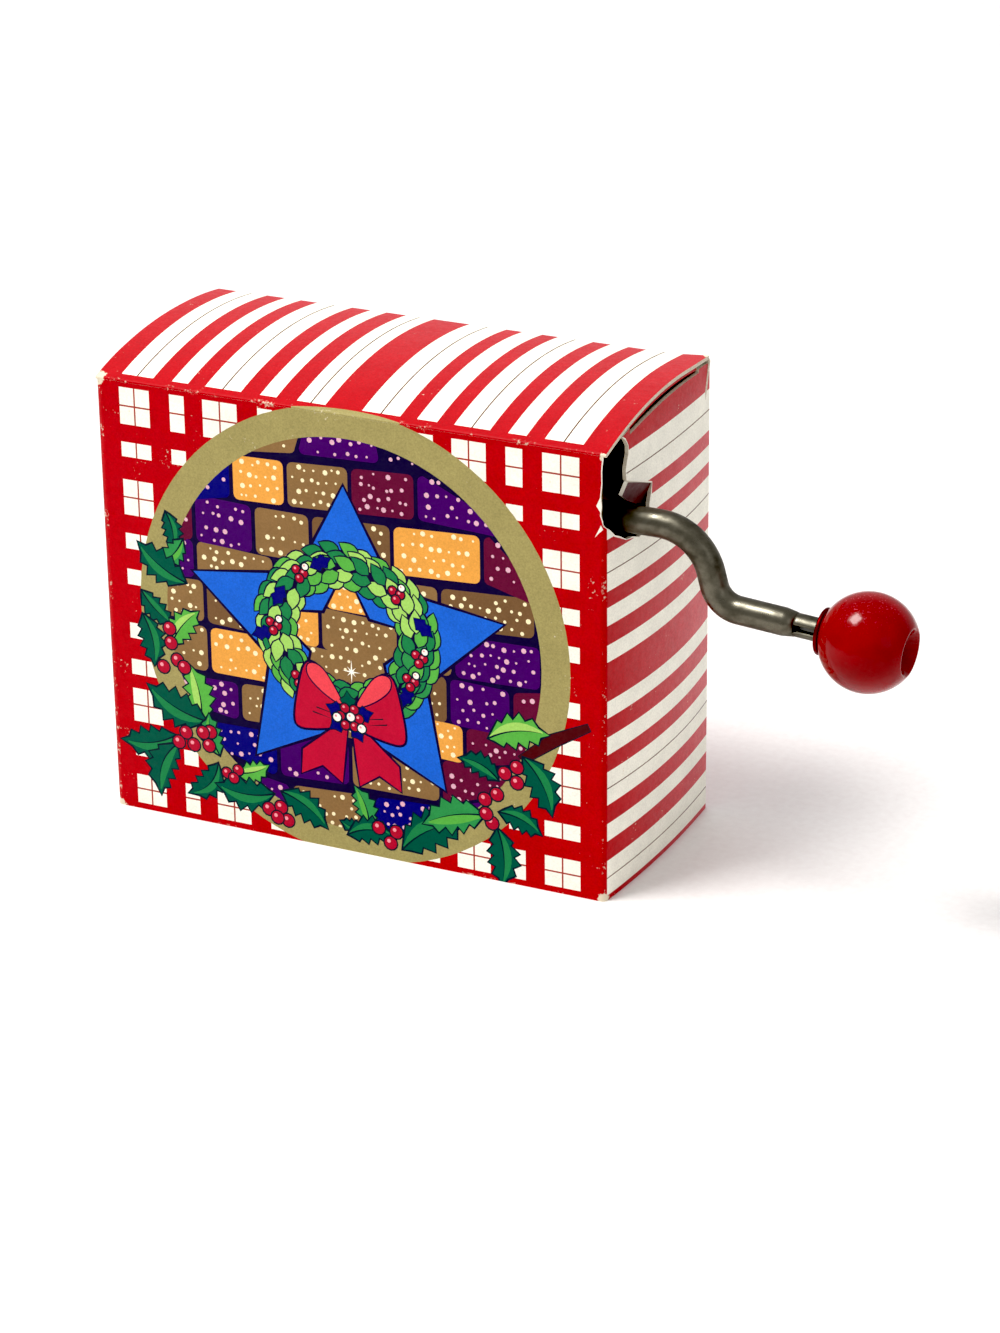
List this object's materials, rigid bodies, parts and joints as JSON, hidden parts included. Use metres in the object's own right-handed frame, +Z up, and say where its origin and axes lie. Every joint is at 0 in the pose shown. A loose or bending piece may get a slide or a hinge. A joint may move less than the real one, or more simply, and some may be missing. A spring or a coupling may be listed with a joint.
{
  "type": "hand crank music box",
  "caption": "Miniature hand-crank music box: pinned cylinder and steel comb in a printed tuck-top carton, played by a bent wire crank with a ball knob.",
  "frame": {"origin": "under the middle of the carton, on the surface that it stands on", "axes": "+X towards the crank, +Y to the back of the carton, +Z up"},
  "size_m": [0.0777, 0.023, 0.0446],
  "materials": {
    "printed_board": "satin coated print",
    "plain_board": "uncoated grey-white back",
    "plated_steel": "nickel plated, satin",
    "foam": "closed-cell foam",
    "bronze": "turned, oiled",
    "comb_steel": "ground and hardened",
    "zinc": "die cast",
    "screw_steel": "turned",
    "lead": "dull, cast",
    "brass": "turned, satin",
    "wire_nickel": "nickel plated, tarnished satin",
    "knob_red": "glossy moulded",
    "eyelet_red": "lacquered"
  },
  "bodies": {
    "carton": {"front_panel": "printed_board", "right_panel": "printed_board", "back_panel": "printed_board", "left_panel": "printed_board", "glue_seam_flap": "plain_board", "bottom_panel": "printed_board", "bottom_tuck_flap": "plain_board", "bottom_dust_flap_left": "plain_board", "bottom_dust_flap_right": "plain_board", "bed_plate": "plated_steel", "adhesive_pad": "foam", "upper_cylinder_bracket": "plated_steel", "lower_cylinder_bracket": "plated_steel", "inner_crank_bracket": "plated_steel", "outer_crank_bracket": "plated_steel", "inner_crank_bush": "bronze", "outer_crank_bush": "bronze", "steel_comb": "comb_steel", "comb_pedestal": "zinc", "comb_screws": "screw_steel", "lead_weights": "lead"},
    "lid": {"lid_panel": "printed_board", "lid_tuck_flap": "plain_board"},
    "left_flap": {"top_dust_flap_left": "plain_board"},
    "right_flap": {"top_dust_flap_right": "plain_board"},
    "cylinder": {"cylinder_tube": "brass", "upper_end_cap": "brass", "lower_end_cap": "brass", "cylinder_arbor": "screw_steel", "arbor_clip": "screw_steel", "cylinder_pins": "screw_steel", "worm_wheel": "brass"},
    "crank": {"crank_wire": "wire_nickel", "worm": "brass", "thrust_collar": "brass", "crank_clip": "screw_steel"},
    "knob": {"knob_ball": "knob_red", "knob_eyelet": "eyelet_red"}
  },
  "joints": [
    {"name": "crank_turn", "type": "hinge", "parent": "carton", "child": "crank", "pos_m": [0, -0.0073, 0.0351], "axis": [1, 0, 0], "continuous": true},
    {"name": "knob_spin", "type": "hinge", "parent": "crank", "child": "knob", "pos_m": [0.03398, -0.0073, 0.02845], "axis": [0.9969, 0, -0.0785], "continuous": true},
    {"name": "cylinder_spin", "type": "hinge", "parent": "carton", "child": "cylinder", "pos_m": [0.006, 0.0009, 0.0217], "axis": [0, 0, 1], "continuous": true},
    {"name": "lid_hinge", "type": "hinge", "parent": "carton", "child": "lid", "pos_m": [0, -0.01112, 0.04202], "axis": [1, 0, 0], "range_deg": [0, 150]},
    {"name": "left_flap_hinge", "type": "hinge", "parent": "carton", "child": "left_flap", "pos_m": [-0.02482, 0, 0.04307], "axis": [0, -0.9981, -0.0619], "range_deg": [0, 37.5]},
    {"name": "right_flap_hinge", "type": "hinge", "parent": "carton", "child": "right_flap", "pos_m": [0.02482, 0, 0.04307], "axis": [0, 0.9981, 0.0619], "range_deg": [0, 37.5]}
  ],
  "couplings": [
    {"joint": "cylinder_spin", "follows": "crank_turn", "ratio": -0.041667},
    {"joint": "left_flap_hinge", "follows": "lid_hinge", "ratio": 0.25},
    {"joint": "right_flap_hinge", "follows": "lid_hinge", "ratio": 0.25}
  ]
}
